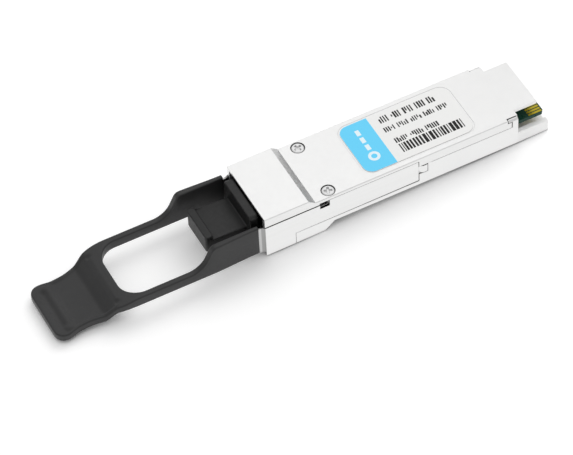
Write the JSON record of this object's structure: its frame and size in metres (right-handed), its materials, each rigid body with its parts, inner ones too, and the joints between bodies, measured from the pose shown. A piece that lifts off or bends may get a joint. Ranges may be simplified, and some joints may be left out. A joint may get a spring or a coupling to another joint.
{
  "type": "optical transceiver module",
  "caption": "Slim pluggable optical transceiver with a stepped metal nose, a parallel-fibre port, a sliding cage release with a flat pull tab, a card edge and a dust plug.",
  "frame": {"origin": "centre of the part's bounding box in plan, at its lowest level, which is the underside of the pull tab's tip", "axes": "+X from the pull tab to the card edge, +Y across the module to its left seen from the tab with the cover up, +Z from the underside to the cover"},
  "size_m": [0.123, 0.0192, 0.0136],
  "materials": {
    "case_metal": "satin nickel plate on a zinc die casting",
    "cover_metal": "satin nickel plate on a zinc die casting",
    "screw_steel": "plated steel with a cross recess",
    "label_film": "satin polyester label, white with a sky-blue band at the nose end",
    "gasket_elastomer": "conductive elastomer",
    "slider_steel": "satin stainless sheet",
    "spring_steel": "drawn spring wire",
    "tab_plastic": "satin moulded elastomer",
    "plug_plastic": "satin moulded elastomer",
    "port_plastic": "moulded engineering plastic",
    "clip_plastic": "moulded engineering plastic",
    "ferrule_resin": "filled moulding resin with a polished end face",
    "pin_steel": "ground stainless steel",
    "keeper_steel": "stamped stainless sheet",
    "holder_metal": "as cast",
    "ribbon_film": "coated fibre ribbon",
    "lens_resin": "amber optical moulding resin",
    "die_surface": "bare semiconductor die",
    "chip_package": "black moulding compound",
    "inductor_ferrite": "pressed ferrite",
    "capacitor_ceramic": "fired ceramic",
    "pad_elastomer": "soft heat-conducting pad",
    "board_resist": "dark green solder resist",
    "contact_gold": "hard gold plate"
  },
  "bodies": {
    "module": {"lower_case": "case_metal", "upper_cover": "cover_metal", "cover_screws": "screw_steel", "product_label": "label_film", "emi_gasket": "gasket_elastomer", "return_spring_left": "spring_steel", "return_spring_right": "spring_steel", "port_insert": "port_plastic", "port_latch_clip": "clip_plastic", "mt_ferrule": "ferrule_resin", "guide_pins": "pin_steel", "pin_keeper": "keeper_steel", "ferrule_holder": "holder_metal", "fibre_ribbon": "ribbon_film", "fibre_jumper": "lens_resin", "lens_block": "lens_resin", "vcsel_array": "die_surface", "photodiode_array": "die_surface", "laser_driver": "chip_package", "receiver_amplifier": "chip_package", "microcontroller": "chip_package", "memory_chip": "chip_package", "power_inductors": "inductor_ferrite", "capacitors": "capacitor_ceramic", "resistors": "chip_package", "thermal_pad": "pad_elastomer", "circuit_board": "board_resist", "contacts_top": "contact_gold", "contacts_bottom": "contact_gold"},
    "release": {"release_slider": "slider_steel", "pull_tab": "tab_plastic"},
    "plug": {"dust_plug": "plug_plastic"}
  },
  "joints": [
    {"name": "pull_tab_slide", "type": "slide", "parent": "module", "child": "release", "axis": [-1, 0, 0], "range_m": [0, 0.0024], "stiffness_N_per_m": 400, "springref_m": -0.005, "deforming": ["return_spring_left", "return_spring_right"]},
    {"name": "dust_plug_pull", "type": "slide", "parent": "module", "child": "plug", "axis": [-1, 0, 0], "range_m": [0, 0.02]}
  ]
}
